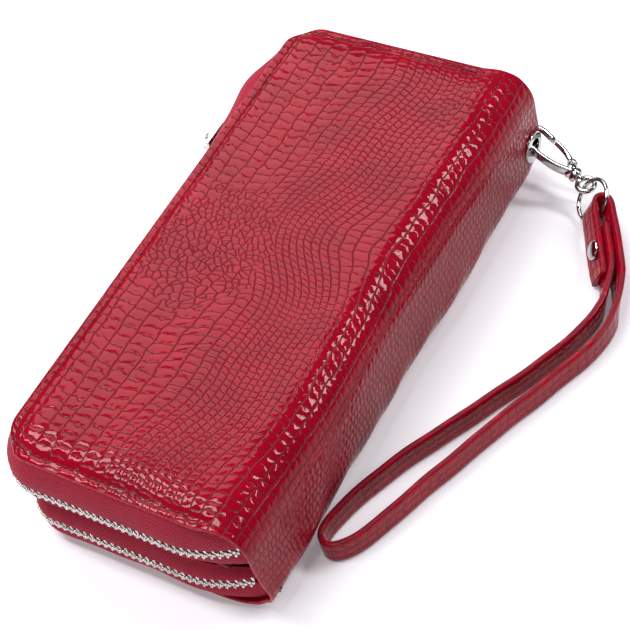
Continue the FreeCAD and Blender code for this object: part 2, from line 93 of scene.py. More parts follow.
# %% The camera
camera_place = Vector((280.3, -280.1, 487.9)) * MM
looks_right = Vector((0.8521, 0.4818, -0.2045)).normalized()
looks_ahead = Vector((-0.4450, 0.4611, -0.7677)).normalized()
looks_up = looks_right.cross(looks_ahead).normalized()
looks_right = looks_ahead.cross(looks_up).normalized()

camera = bpy.data.objects.new("camera", bpy.data.cameras.new("camera"))
camera.data.lens = 105.5
camera.data.shift_x = 0.001
camera.data.shift_y = -0.0075
camera.data.sensor_width = 36.0
camera.data.clip_start = 0.01
turn = Matrix((looks_right, looks_up, -looks_ahead)).transposed()
camera.matrix_world = Matrix.Translation(camera_place) @ turn.to_4x4()
bpy.context.scene.collection.objects.link(camera)
bpy.context.scene.camera = camera
print("camera's distance from the middle, m:", round(camera_place.length, 2))

# %% [markdown]
# Blender's shader maths is made of nodes with one socket each. A small class wraps a socket,
# so that the finishes below can be written as ordinary sums.


# %% Shader maths
class Value:
    """One number inside a material, for plain arithmetic."""

    def __init__(self, finish, socket):
        self.finish = finish
        self.socket = socket

    def __add__(self, other):
        return self.finish.maths("ADD", self, other)

    def __sub__(self, other):
        return self.finish.maths("SUBTRACT", self, other)

    def __rsub__(self, other):
        return self.finish.maths("SUBTRACT", other, self)

    def __mul__(self, other):
        return self.finish.maths("MULTIPLY", self, other)

    def __truediv__(self, other):
        return self.finish.maths("DIVIDE", self, other)

    def __rtruediv__(self, other):
        return self.finish.maths("DIVIDE", other, self)

    def __pow__(self, other):
        return self.finish.maths("POWER", self, other)

    __radd__ = __add__
    __rmul__ = __mul__

    def floor(self):
        return self.finish.maths("FLOOR", self)

    def part(self):
        return self.finish.maths("FRACT", self)

    def size(self):
        return self.finish.maths("ABSOLUTE", self)

    def wave(self):
        return self.finish.maths("SINE", self)

    def rise(self, low, high):
        """0 below low, 1 above high, smooth between."""
        made = self.finish.node(
            "ShaderNodeMapRange",
            {"interpolation_type": "SMOOTHSTEP"},
            {"Value": self, "From Min": low, "From Max": high},
        )
        return Value(self.finish, made.outputs["Result"])

    def between(self, first, second):
        return (1.0 - self) * first + self * second


class Finish:
    """A material under construction."""

    def __init__(self, name):
        self.material = bpy.data.materials.new(name)
        self.material.use_nodes = True
        self.tree = self.material.node_tree
        self.surface = self.tree.nodes["Principled BSDF"]

    def node(self, kind, settings=None, sockets=None):
        made = self.tree.nodes.new(kind)
        for key, value in (settings or {}).items():
            setattr(made, key, value)
        for key, value in (sockets or {}).items():
            self.join(made.inputs[key], value)
        return made

    def join(self, socket, value):
        if isinstance(value, Value):
            value = value.socket
        if isinstance(value, bpy.types.NodeSocket):
            self.tree.links.new(value, socket)
        else:
            socket.default_value = value

    def maths(self, operation, *terms):
        made = self.node("ShaderNodeMath", {"operation": operation}, dict(enumerate(terms)))
        return Value(self, made.outputs[0])

    def attribute(self, name):
        made = self.node("ShaderNodeAttribute", {"attribute_name": name})
        return Value(self, made.outputs["Fac"])

    def place(self, x, y, z=0.0):
        return self.node("ShaderNodeCombineXYZ", None, {"X": x, "Y": y, "Z": z}).outputs[0]

    def noise(self, scale, where=None, detail=2.0):
        if where is None:
            where = self.node("ShaderNodeTexCoord").outputs["Object"]
        made = self.node(
            "ShaderNodeTexNoise", None, {"Vector": where, "Scale": scale, "Detail": detail}
        )
        return Value(self, made.outputs["Fac"])

    def colours(self, share, first, second):
        made = self.node("ShaderNodeMix", {"data_type": "RGBA"})
        self.join(made.inputs["Factor"], share)
        self.join(made.inputs[6], first)
        self.join(made.inputs[7], second)
        return made.outputs[2]

    def relief(self, height_mm, strength=1.0):
        made = self.node(
            "ShaderNodeBump", None, {"Height": height_mm, "Distance": MM, "Strength": strength}
        )
        self.join(self.surface.inputs["Normal"], made.outputs["Normal"])

    def paint(self, **sockets):
        for key, value in sockets.items():
            self.join(self.surface.inputs[key.replace("_", " ")], value)
        return self.material


def rgb(red, green, blue):
    return (red, green, blue, 1.0)


print("shader sums are ready")

# %% [markdown]
# The leather is calf, pressed with a hot plate into crocodile scales and then flooded with
# clear lacquer. Large oblong scales lie by the long edge, fine ones in the middle, and round
# pebbles in one patch. The scale pattern needs to follow the leather round the spine, so
# it is drawn in the flat, unrolled sheet's millimetres, which each mesh carries as attributes:
# the column number, the place along the column, the column's width and the share of pebble.


# %% Patent leather
def scale_edge(f):
    """Distance in mm from the nearest groove of the pressed scales."""
    row = f.attribute("row")
    across = f.attribute("across")
    where = f.place(across * 0.12, row * 0.12)
    wander = f.noise(1.0, where, 1.0) - 0.5
    ripple = f.noise(2.3, where, 1.0) - 0.5
    column = f.attribute("column") + wander * 0.5
    wide = f.attribute("wide")
    number = column.floor()
    tall = 3.7 - number.rise(4.0, 7.5) * 1.6 + number.rise(15.5, 19.0) * 1.2
    tall = tall - number.rise(22.0, 25.0) * 1.0 + number.rise(30.0, 38.0) * 1.4
    shift = f.node("ShaderNodeTexWhiteNoise", {"noise_dimensions": "1D"}, {"W": number})
    step = row / tall + Value(f, shift.outputs["Value"]) * 7.0 + ripple * 0.9
    side = (0.5 - (column.part() - 0.5).size()) * wide + 0.01
    end = (0.5 - (step.part() - 0.5).size()) * tall + 0.01
    oblong = (side ** -3.0 + end ** -3.0) ** -0.3333
    cell = 2.5
    pebbles = f.node(
        "ShaderNodeTexVoronoi",
        {"voronoi_dimensions": "2D", "feature": "DISTANCE_TO_EDGE"},
        {"Vector": f.place(across / cell + ripple, row / cell + wander), "Scale": 1.0},
    )
    round_ones = Value(f, pebbles.outputs["Distance"]) * cell
    share = (f.attribute("pebble") + wander * 0.9).rise(0.42, 0.52)
    return share.between(oblong, round_ones)


def patent_leather(name, tint, groove, depth=1.0):
    f = Finish(name)
    edge = scale_edge(f)
    flat = edge.rise(0.02, 0.34)
    pillow = edge.rise(0.0, 1.7)
    grain = f.noise(900.0)
    slow = f.noise(60.0)
    red = f.colours(slow.rise(0.3, 0.7), rgb(*tint), rgb(*[c * 0.8 for c in tint]))
    # The grooves between the scales get a darker colour: painted shade in the recesses.
    red = f.colours(flat, rgb(*groove), red)
    # The rim attribute brings in a lighter red. On the strap this is partly its edge paint and partly a
    # painted highlight; on the cover's turned edge it is a painted highlight.
    red = f.colours(f.attribute("rim").rise(0.35, 0.9), red, rgb(0.36, 0.010, 0.03))
    f.relief((flat * 0.09 + pillow * 0.14) * depth + grain * 0.005 + slow * 0.25)
    return f.paint(
        Base_Color=red,
        Roughness=flat.between(0.42, 0.07),
        IOR=1.26,
    )


# Each finish takes a tint and a darker groove colour, which is painted shade in the scales' grooves.
leather = patent_leather("croc leather", (0.27, 0.001, 0.012), (0.10, 0.001, 0.009))
strap_leather = patent_leather("strap leather", (0.30, 0.001, 0.012), (0.11, 0.001, 0.008), 0.7)
print("patent finishes:", leather.name, "and", strap_leather.name)

# %% [markdown]
# The zip tape is a woven herringbone: fine ribs that lean one way, then the other. The folded
# sum of the two flat coordinates draws the lean.


# %% Cloth, thread and board
def woven(name, light, dark, rib, band):
    f = Finish(name)
    along = f.attribute("row")
    up = f.attribute("across")
    lean = ((up / band).part() - 0.5).size() * band * 1.3
    rib_wave = ((along + lean) * (2 * math.pi / rib)).wave() * 0.5 + 0.5
    cross = (up * (2 * math.pi / (rib * 0.9))).wave() * 0.5 + 0.5
    fuzz = f.noise(1500.0)
    f.relief(rib_wave * 0.10 + cross * 0.04 + fuzz * 0.05)
    return f.paint(
        Base_Color=f.colours(rib_wave * 0.7 + fuzz * 0.3, rgb(*dark), rgb(*light)),
        Roughness=fuzz.between(0.65, 0.85),
        Specular_IOR_Level=0.25,
    )


def plain(name, first, second, scale, rough, bump=0.05, **more):
    """A finish with grain: two close colours, uneven roughness and a little relief."""
    f = Finish(name)
    grain = f.noise(scale)
    f.relief(grain * bump)
    return f.paint(
        Base_Color=f.colours(grain.rise(0.35, 0.65), rgb(*first), rgb(*second)),
        Roughness=grain.between(rough * 0.8, rough * 1.2),
        **more,
    )


tape_cloth = woven("zip tape", (0.46, 0.008, 0.040), (0.15, 0.001, 0.010), 1.3, 3.4)
lining_cloth = woven("lining cloth", (0.20, 0.012, 0.022), (0.10, 0.005, 0.010), 0.5, 1.6)
pocket_skin = plain("pocket leather", (0.22, 0.006, 0.018), (0.16, 0.004, 0.012), 1400.0, 0.4)
thread = plain("thread", (0.10, 0.001, 0.008), (0.05, 0.001, 0.004), 2500.0, 0.5)
board_card = plain("board", (0.45, 0.40, 0.33), (0.36, 0.31, 0.25), 700.0, 0.8)
foam = plain("foam", (0.72, 0.70, 0.66), (0.60, 0.58, 0.54), 1800.0, 0.9, 0.15)
nickel = plain("zip teeth", (0.68, 0.64, 0.61), (0.50, 0.46, 0.44), 500.0, 0.14, 0.02, Metallic=1.0)
chrome = plain("chrome", (0.58, 0.56, 0.55), (0.42, 0.40, 0.40), 300.0, 0.10, 0.01, Metallic=1.0)
print("finishes:", len(bpy.data.materials))

# %% [markdown]
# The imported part's own pieces get their finishes. Those that keep their own shape are metal or
# board, with a small bevel on the zip sliders, which are cut from plate on the real thing. The
# rest are stood for by the pieces made further down.

# %% Finishes on the frame's pieces
for node, piece in frame["nodes"].items():
    finish = board_card if "board" in node else foam if "padding" in node else chrome
    if node == "divider_board":
        finish = plain("wrapped board", (0.16, 0.006, 0.016), (0.10, 0.004, 0.010), 900.0, 0.6)
    piece.data.materials.clear()
    piece.data.materials.append(finish)


def soften(piece, width_mm):
    """A small bevel along the sharp edges of a casting."""
    bevel = piece.modifiers.new("soft edges", "BEVEL")
    bevel.width = width_mm * MM
    bevel.segments = 3
    bevel.limit_method = "ANGLE"


for node in ("upper_slider_body", "lower_slider_body", "upper_pull_tab", "lower_pull_tab"):
    soften(frame["nodes"][node], 0.45)
print("metal, board and foam pieces are painted")


# %% [markdown]
# Every piece made below starts as numbers in millimetres and becomes a mesh here, in one place.
# The same few helpers measure along a line, join rings of points and square off a circle.


# %% From numbers to meshes
def grid_faces(rows, columns, start=0, flip=False):
    i, j = np.meshgrid(np.arange(rows - 1), np.arange(columns - 1), indexing="ij")
    a = start + i * columns + j
    quads = np.stack([a, a + columns, a + columns + 1, a + 1], -1).reshape(-1, 4)
    return quads[:, ::-1] if flip else quads


def unit(v):
    return v / np.maximum(np.linalg.norm(v, axis=-1, keepdims=True), 1e-12)


def make_piece(name, points, faces, material, attributes=None, normals=None, turn_out=False):
    """A smooth piece from points in mm; turn_out sets its faces the right way round."""
    mesh = bpy.data.meshes.new(name)
    faces = faces if isinstance(faces, list) else faces.tolist()
    mesh.from_pydata((points * MM).tolist(), [], faces)
    if turn_out:
        work = bmesh.new()
        work.from_mesh(mesh)
        bmesh.ops.recalc_face_normals(work, faces=work.faces)
        work.to_mesh(mesh)
        work.free()
    mesh.polygons.foreach_set("use_smooth", np.ones(len(mesh.polygons), bool))
    for key, values in (attributes or {}).items():
        layer = mesh.attributes.new(key, "FLOAT", "POINT")
        layer.data.foreach_set("value", np.asarray(values, np.float32))
    if normals is not None:
        mesh.normals_split_custom_set_from_vertices(unit(normals).tolist())
    mesh.materials.append(material)
    piece = bpy.data.objects.new(name, mesh)
    bpy.context.scene.collection.objects.link(piece)
    return piece


def distances(line):
    """How far along the line each of its points is."""
    return np.concatenate([[0.0], np.cumsum(np.linalg.norm(np.diff(line, axis=0), axis=1))])


def read_off(line, gone, where):
    """The line's columns at the distances asked for."""
    return np.stack([np.interp(where, gone, column) for column in line.T], -1)


def squared_circle(sides, power):
    """A circle pressed towards a square; the lower the power, the squarer."""
    circle = np.linspace(0, 2 * math.pi, sides, endpoint=False)
    c, s = np.cos(circle), np.sin(circle)
    return np.sign(c) * np.abs(c) ** power, np.sign(s) * np.abs(s) ** power, c


def border_of(numbers):
    """The numbers round a grid's border, in order."""
    return np.concatenate([numbers[:, 0], numbers[-1, 1:], numbers[-2::-1, -1], numbers[0, -2:0:-1]])


def tube_faces(rings, sides):
    """Quads between rings of points that follow one another."""
    faces = []
    for i in range(rings - 1):
        for j in range(sides):
            k = (j + 1) % sides
            faces.append([i * sides + j, i * sides + k, (i + 1) * sides + k, (i + 1) * sides + j])
    return faces


def settle(piece, body, slot, *nodes):
    """Ride on a body and stand for the frame's own pieces. The slot argument is not used."""
    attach(piece, body)
    if nodes:
        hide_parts(*nodes)
    return piece


# %% [markdown]
# The strap comes early, because its path was chosen with the part: from its raw tail up to the
# ring, through it and down, round the loop on the floor, and back up between the two ends, where
# a rivet holds the three layers. A spline follows the same points, and the strap's flat
# section is swept along it, standing on its edge.

# %% The strap's path
strap_width, strap_thick = 9.6, 2.2
strap_scale = 3.2
edge_paint_and_highlight_width = 0.35
strap_points = [
    (85.76, 54.77, 5.58), (80.34, 63.76, 7.15), (75.31, 72.98, 8.20), (72.00, 78.81, 8.20),
    (71.78, 81.79, 8.20), (74.55, 83.39, 8.20), (77.02, 81.71, 8.20), (80.42, 75.93, 8.20),
    (85.88, 66.96, 7.15), (90.63, 58.73, 5.72), (96.80, 45.60, 4.90), (96.90, 30.40, 4.90),
    (90.00, 13.80, 4.90), (79.50, -10.70, 4.90), (69.00, -37.70, 4.90), (62.40, -55.60, 4.90),
    (57.80, -66.40, 4.90), (52.00, -71.60, 4.90), (47.20, -68.80, 4.90), (47.20, -61.00, 4.90),
    (51.20, -46.60, 4.90), (59.80, -28.00, 4.90), (72.40, -5.40, 4.90), (82.40, 14.00, 4.90),
    (89.40, 30.00, 4.90), (91.80, 44.00, 4.90), (87.78, 57.08, 5.72), (83.49, 65.00, 7.07),
    (78.78, 72.67, 8.20),
]
curve = bpy.data.curves.new("strap path", "CURVE")
curve.dimensions = "3D"
spline = curve.splines.new("NURBS")
spline.points.add(len(strap_points) - 1)
for point, spot in zip(spline.points, strap_points):
    point.co = (*(Vector(spot) * MM), 1.0)
spline.order_u = 3
spline.use_endpoint_u = True
spline.resolution_u = 24
holder = bpy.data.objects.new("strap path", curve)
bpy.context.scene.collection.objects.link(holder)
bpy.context.view_layer.update()
traced = bpy.data.meshes.new_from_object(holder.evaluated_get(bpy.context.evaluated_depsgraph_get()))
strap_line = np.array([v.co for v in traced.vertices], float) / MM
bpy.data.objects.remove(holder)


def even_steps(points, step):
    """The same line with points a fixed step apart."""
    gone = distances(points)
    keep = np.concatenate([[True], np.diff(gone) > 1e-6])
    where = np.linspace(0.0, gone[-1], int(round(gone[-1] / step)) + 1)
    return read_off(points[keep], gone[keep], where), where


strap_line, strap_along = even_steps(strap_line, 0.6)

# %% [markdown]
# The strap is a flat strip of the same leather with painted edges, whose lighter colour also stands
# for a painted highlight along them. A bevelled curve would twist where the strip turns, so its
# section is placed ring by ring instead: upright along the loop on the table, and leaning over near
# the metal ring. A section with soft corners gives it the folded edge of a real strip, and the
# scales follow the distance along it.

# %% The strap
ahead = unit(np.gradient(strap_line, axis=0))
strap_heading = math.radians(-60.0)
leans_to = np.array([-math.sin(strap_heading), math.cos(strap_heading), 0.0])
at_ring = np.clip((strap_line[:, 1] - 42.0) / 16.0, 0, 1)
lean = np.tan(math.radians(30.0) * at_ring)[:, None] * leans_to
lean = lean - ahead * (lean * ahead).sum(1, keepdims=True)
upright = unit(np.array([0.0, 0.0, 1.0]) - ahead * ahead[:, 2:] + lean)
sideways = np.cross(ahead, upright)
wide_way, thin_way, cosine = squared_circle(32, 0.32)
thin_way = thin_way * (1 - 0.10 * np.abs(cosine) ** 6)
section = np.column_stack([wide_way * strap_width / 2, thin_way * strap_thick / 2])
count = len(section)
wave = 0.10 * np.sin(strap_along / 5.1) + 0.08 * np.sin(strap_along / 2.9 + 1.0)
ring_points = (
    strap_line[:, None, :]
    + upright[:, None, :] * section[None, :, :1]
    + sideways[:, None, :] * (section[None, :, 1:] + wave[:, None, None])
)
points = ring_points.reshape(-1, 3)
total = len(strap_line)
faces = tube_faces(total, count)
faces.append(list(range(count - 1, -1, -1)))
faces.append([(total - 1) * count + j for j in range(count)])
across = np.tile(section[:, 0], total)
along = np.repeat(strap_along, count)
# The strap's edge band is marked for the lighter rim colour: its edge paint and a painted highlight.
edge_paint_and_highlight = (np.abs(across) > strap_width / 2 - edge_paint_and_highlight_width).astype(float)
strap_marks = {
    "column": (across + strap_width / 2) / strap_scale + 0.001,
    "row": along,
    "wide": np.full(len(across), strap_scale),
    "across": across + strap_width / 2,
    "pebble": np.zeros(len(across)),
    "rim": edge_paint_and_highlight * 0.5,
}
strap = make_piece("wrist_strap", points, faces, strap_leather, strap_marks)
settle(strap, "strap", "strap_croc_leather", "strap_leather")
print("rings of points along the strap:", total)

# %% [markdown]
# A rivet goes through the three layers: a domed cap on each side of a shank. The caps are turned
# shapes, so one helper spins an outline round an axis; the hook's collar uses it too.


# %% The rivet
def spun(profile, origin, axis, sides=32):
    """Points and faces of an outline (distance along the axis, radius) turned round it."""
    axis = unit(np.array(axis, float))
    first = unit(np.cross(axis, np.array([0.31, 0.22, 0.93])))
    second = np.cross(axis, first)
    circle = np.linspace(0, 2 * math.pi, sides, endpoint=False)
    points = [
        np.array(origin) + axis * reach + (first * math.cos(a) + second * math.sin(a)) * radius
        for reach, radius in profile
        for a in circle
    ]
    return np.array(points), tube_faces(len(profile), sides)


def gather(name, parts, material):
    """One smooth mesh from several sets of points and faces."""
    points, faces, base = [], [], 0
    for spots, quads in parts:
        points.append(spots)
        faces += [[base + k for k in quad] for quad in quads]
        base += len(spots)
    return make_piece(name, np.concatenate(points), faces, material, turn_out=True)


caps_low, caps_high = box_mm("strap_rivet_caps")
rivet_spot = (caps_low + caps_high) / 2
nearest = int(np.argmin(np.linalg.norm(strap_line[-60:] - rivet_spot, axis=1))) - 60
rivet_way = sideways[nearest] * np.sign(sideways[nearest] @ leans_to)
cap_reach, cap_radius = 4.25, 3.4
dome = [(0.0, 0.3), (0.0, cap_radius), (0.25, cap_radius), (0.6, cap_radius * 0.88)]
dome += [(0.85, cap_radius * 0.62), (0.98, cap_radius * 0.3), (1.02, 0.02)]
rivet_parts = [
    spun([(reach + cap_reach, radius) for reach, radius in dome], rivet_spot, way)
    for way in (rivet_way, -rivet_way)
]
rivet_parts.append(spun([(-cap_reach, 1.1), (cap_reach, 1.1)], rivet_spot, rivet_way, 20))
rivet = gather("strap_rivet", rivet_parts, chrome)
settle(rivet, "strap", "hardware", "strap_rivet_caps", "strap_rivet_post")
print("the rivet reaches to each side, mm:", cap_reach + dome[-1][0])

# %% [markdown]
# The snap hook is cast: one arm runs from the collar to a rounded nose and back to a short
# stub, and a sprung gate closes the other side. Flat bars with soft corners, swept along bent
# lines, give its pointed loop, with the places of nose, collar and gate pin taken from the part.

# %% The snap hook
slope, skew = math.radians(26.0), math.radians(15.0)
hook_out = np.array([math.cos(slope) * math.cos(skew), -math.sin(skew), -math.sin(slope) * math.cos(skew)])
hook_side = np.array([math.cos(slope) * math.sin(skew), math.cos(skew), -math.sin(slope) * math.sin(skew)])
hook_face = np.cross(hook_out, hook_side)
hook_origin = np.array([45.2, 90.8, 18.5])
spread = 8.8


def hook_bar(line, widths, thicks, sides=20):
    """A flat bar along (out, side) points, its width in the face direction."""
    spots = np.array([hook_origin + hook_out * o + hook_side * s for o, s in line])
    forward = unit(np.gradient(spots, axis=0))
    flank = unit(np.cross(forward, hook_face))
    u, v, _ = squared_circle(sides, 0.6)
    points = (
        spots[:, None, :]
        + hook_face * (u[None, :, None] * np.array(widths)[:, None, None] / 2)
        + flank[:, None, :] * (v[None, :, None] * np.array(thicks)[:, None, None] / 2)
    ).reshape(-1, 3)
    faces = tube_faces(len(line), sides)
    faces.append(list(range(sides)))
    faces.append([(len(line) - 1) * sides + j for j in range(sides)])
    return points, faces


def smooth_line(knots, count):
    """A soft curve through (out, side) knots."""
    knots = np.array(knots, float)
    share = np.linspace(0, len(knots) - 1, count)
    line = np.stack([np.interp(share, range(len(knots)), knots[:, k]) for k in range(2)], -1)
    for _ in range(12):
        line[1:-1] = (line[:-2] + 2 * line[1:-1] + line[2:]) / 4
    return line


nose = [
    (-1.0 - 4.4 * math.sin(a), 4.4 - 4.4 * math.cos(a)) for a in np.linspace(0, math.pi, 9)
]
arm = smooth_line([(15.8, 3.6), (13.5, 2.4), (11.0, 1.2), (8.0, 0.4), (4.0, 0.0)], 24)
loop = np.concatenate([arm, np.array([(2.0, 0.0), (0.5, 0.0), *nose, (1.5, spread), (4.2, spread)])])
wide = np.interp(np.arange(len(loop)), [0, 10, 24, 30, len(loop)], [4.4, 4.0, 3.0, 2.3, 2.2])
collar = [(13.6, 0.2), (13.6, 1.9), (14.6, 2.6), (15.5, 2.9), (16.1, 2.9), (16.4, 2.5), (16.8, 2.5)]
collar += [(17.0, 2.9), (18.4, 2.9), (18.8, 2.4), (18.8, 1.3)]
middle_foot = hook_origin + hook_side * spread / 2
shoulder_line = [(12.4, 6.9), (13.6, 6.4), (15.0, 5.4), (16.2, 4.8)]
shoulder = hook_bar(shoulder_line, [3.2] * 4, [1.0, 2.4, 3.0, 2.6])
cast = gather(
    "hook_frame_cast",
    [hook_bar(loop, wide, [1.9] * len(loop)), spun(collar, middle_foot, hook_out), shoulder],
    chrome,
)
settle(cast, "hook", "hardware", "hook_frame")
gate_knots = [(4.6, 0.0), (7.0, 0.0), (9.5, 0.3), (12.0, 1.0), (14.2, 2.0)]
gate_line = smooth_line([(reach, spread - inward) for reach, inward in gate_knots], 16)
gate_parts = [hook_bar(gate_line, np.linspace(2.3, 1.5, 16), np.linspace(1.6, 1.9, 16))]
pin_reach, pin_inward = 14.0, 1.9
pin_middle = hook_origin + hook_out * pin_reach + hook_side * (spread - pin_inward)
knuckle_spot = pin_middle - hook_face * 0.85
knuckle = [(0, 0.1), (0, 1.5), (0.2, 1.7), (1.5, 1.7), (1.7, 1.5), (1.7, 0.1)]
gate_parts.append(spun(knuckle, knuckle_spot, hook_face, 24))
gate = gather("hook_gate_cast", gate_parts, chrome)
settle(gate, "gate", "hardware", "hook_gate")
pin_low = pin_middle - hook_face * 2.0
pin_shape = [(0, 0.1), (0, 0.8), (0.3, 1.0), (0.6, 1.0), (0.6, 0.6)]
pin_shape += [(3.4, 0.6), (3.4, 1.0), (3.7, 1.0), (4.0, 0.7), (4.0, 0.1)]
pin = gather("gate_pin_peened", [spun(pin_shape, pin_low, hook_face, 20)], chrome)
settle(pin, "hook", "hardware", "gate_pin")
print("hook, gate and pin are made")

# %% [markdown]
# The ring is bent from round wire and runs through the turning eye and the strap's fold. The
# frame holds it upright. Here it leans over with the fold, on the line from eye to fold, as a
# ring does when the strap lies on its side. It is a torus made from two circles of angles.

# %% The ring
ring_low, ring_high = box_mm("strap_ring")
ring_centre = (ring_low + ring_high) / 2
ring_wire = 1.6
ring_radius = (ring_high[2] - ring_low[2]) / 2 - ring_wire / 2
to_fold = unit(np.array([0.67, -0.743, 0.0]))
leaning = math.radians(42.0)
level = np.array([0.743, 0.67, 0.0])
ring_rise = level * math.sin(leaning) + np.array([0.0, 0.0, math.cos(leaning)])
around = np.linspace(0, 2 * math.pi, 97)[:-1]
tube = np.linspace(0, 2 * math.pi, 21)[:-1]
spoke = to_fold * np.cos(around)[:, None] + ring_rise * np.sin(around)[:, None]
ring_axle = np.cross(to_fold, ring_rise)
wire = (
    ring_centre
    + spoke[:, None, :] * (ring_radius + ring_wire / 2 * np.cos(tube))[None, :, None]
    + ring_axle * (ring_wire / 2 * np.sin(tube))[None, :, None]
)
cell = np.arange(len(around) * len(tube)).reshape(len(around), len(tube))
right_of, above = np.roll(cell, -1, 0), np.roll(cell, -1, 1)
quads = np.stack([cell, right_of, np.roll(right_of, -1, 1), above], -1).reshape(-1, 4)
bent_ring = make_piece("bent_wire_ring", wire.reshape(-1, 3), quads, chrome)
settle(bent_ring, "ring", "hardware", "strap_ring")
print("ring radius, mm:", round(ring_radius, 2))

# %% [markdown]
# The cover is one sheet of leather that runs from the long edge of the upper cover, over the
# spine and back under the wallet. It is laid out flat first: one coordinate goes round the wrap
# and one goes along the wallet. Then each point is put in place, and the padding's swell, the
# stitch line's pinch and the turned edge are added along the surface's own normal. Each fall
# below is a depth and a reach in mm: how far the padded panel drops towards that edge.

# %% The wrap's measurements
panel_low, panel_high = box_mm("upper_panel_leather")
roll_low, roll_high = box_mm("upper_roll_leather")
floor_low, _ = box_mm("lower_panel_leather")
left, right = panel_low[0], roll_high[0]
roll_start = panel_high[0]
near, far = panel_low[1], panel_high[1]
top, bottom = panel_high[2], floor_low[2]
roll_radius = right - roll_start
flat_run = roll_start - left
arc_run = roll_radius * math.pi / 2
face_run = (top - bottom) - 2 * roll_radius
wrap_run = 2 * flat_run + 2 * arc_run + face_run
cover_corner = 12.0
edge_round = 0.7
sheet_thick = 2 * edge_round
seam_inset = 2.6
near_fall, far_fall, side_fall = (3.0, 14.0), (2.2, 11.0), (0.9, 9.0)
print("leather from edge to edge, mm:", round(wrap_run, 1))


def round_the_wrap(s):
    """Place and outward direction across the wallet for a distance round the wrap."""
    s = np.asarray(s, float)
    turn_top = np.clip((s - flat_run) / roll_radius, 0, math.pi / 2)
    turn_low = np.clip((s - flat_run - arc_run - face_run) / roll_radius, 0, math.pi / 2)
    x = left + np.minimum(s, flat_run) + roll_radius * np.sin(turn_top)
    z = top - roll_radius * (1 - np.cos(turn_top))
    z = z - np.clip(s - flat_run - arc_run, 0, face_run)
    x = x - roll_radius * (1 - np.cos(turn_low))
    z = z - roll_radius * np.sin(turn_low)
    x = x - np.maximum(s - flat_run - 2 * arc_run - face_run, 0)
    angle = turn_top + turn_low
    return x, z, np.sin(angle), np.cos(angle)


def round_corner(a, b, radius):
    """Take a point of a square corner, measured from the arc's centre, to a round corner."""
    inside = (a > 0) & (b > 0)
    pa = np.where(inside, a * np.sqrt(np.maximum(1 - (b / radius) ** 2 / 2, 0)), a)
    pb = np.where(inside, b * np.sqrt(np.maximum(1 - (a / radius) ** 2 / 2, 0)), b)
    return pa, pb


def swell(depth, reach, distance):
    """How far the padded panel falls away towards its edge."""
    return depth * (1 - np.clip(distance / reach, 0, 1)) ** 2


def leather_field(s, y):
    """Points of the outer face of the leather, for arrays of flat coordinates."""
    half = (far - near) / 2 - edge_round
    inner = cover_corner - edge_round
    middle = (far + near) / 2
    from_end = half - np.abs(y - middle)
    from_side = np.minimum(s, wrap_run - s) - edge_round
    upper = s < wrap_run / 2
    a = inner - from_side
    b = inner - from_end
    ra, rb = round_corner(a, b, inner)
    side = np.minimum(s, wrap_run - s) + (a - ra)
    s_in = np.where(upper, side, wrap_run - side)
    y_in = middle + np.sign(y - middle) * (half - (from_end + (b - rb)))
    x, z, nx, nz = round_the_wrap(s_in)
    past_top = np.clip((s - flat_run + 4) / 14, 0, 1)
    before_bottom = np.clip((wrap_run - flat_run + 4 - s) / 14, 0, 1)
    on_spine = past_top * before_bottom
    near_share = np.clip((middle - y_in) / half, 0, 1)
    low_spine = np.exp(-(((s - flat_run - arc_run - face_run - 8) / 12.0) ** 2))
    y_in = y_in + (1.6 * on_spine + 1.8 * low_spine) * near_share ** 6
    y_in = y_in + 1.0 * on_spine * np.clip((y_in - middle) / half, 0, 1) ** 6
    end_near = y - (middle - half)
    end_far = (middle + half) - y
    fall = swell(*near_fall, end_near) + swell(*far_fall, end_far)
    fall = fall * (1 - 0.75 * on_spine) + swell(*side_fall, from_side)
    shortest = np.minimum(np.minimum(end_near, end_far), from_side)
    seam = (1 - on_spine) * np.exp(-(((shortest - seam_inset) / 0.75) ** 2))
    rim = (1 - on_spine) * np.clip(1 - shortest / 2.0, 0, 1)
    lift = -fall - 0.45 * seam + 0.25 * rim
    drift = 0.35 * np.sin(y / 17.0 + s / 23.0) + 0.25 * np.sin(y / 8.5 - s / 13.0 + 1.3)
    crinkle = 0.22 * np.sin(y / 3.1 + 1.7 * np.sin(s / 4.0)) * np.exp(-(((s - 122) / 7.0) ** 2))
    lift = lift + 1.3 * low_spine * near_share ** 6
    lift = lift + drift * (0.25 + 1.0 * on_spine) * np.clip(shortest / 6, 0, 1) + crinkle
    x = x + 1.2 * np.clip(1 - s_in / 20, 0, 1) ** 2
    low_face = ~upper & (nz < -0.6)
    lift = np.where(low_face, np.minimum(lift, 0.0), lift)
    return np.stack([x + nx * lift, y_in, z + nz * lift], -1)


# %% [markdown]
# The scale pattern is laid out on the same flat sheet: how wide a column is at each place
# round the wrap, how the columns wander, and where the pebbles are.

# %% Laying out the scales
places = [0, 30, 40, 48, 72, 80, 96, 104, 130, 150, 221]
scale_widths = [6.6, 6.4, 4.6, 2.9, 2.7, 4.2, 4.2, 3.0, 3.2, 6.0, 6.6]
fine_s = np.linspace(-20, wrap_run + 20, 4000)
fine_width = np.interp(fine_s, places, scale_widths)
fine_column = np.concatenate([[0], np.cumsum(np.diff(fine_s) / fine_width[:-1])])
fine_column = fine_column - np.interp(0, fine_s, fine_column)
pebble_s, pebble_y = 26.0, -5.0
print("columns of scales round the wrap:", int(np.interp(wrap_run, fine_s, fine_column)))


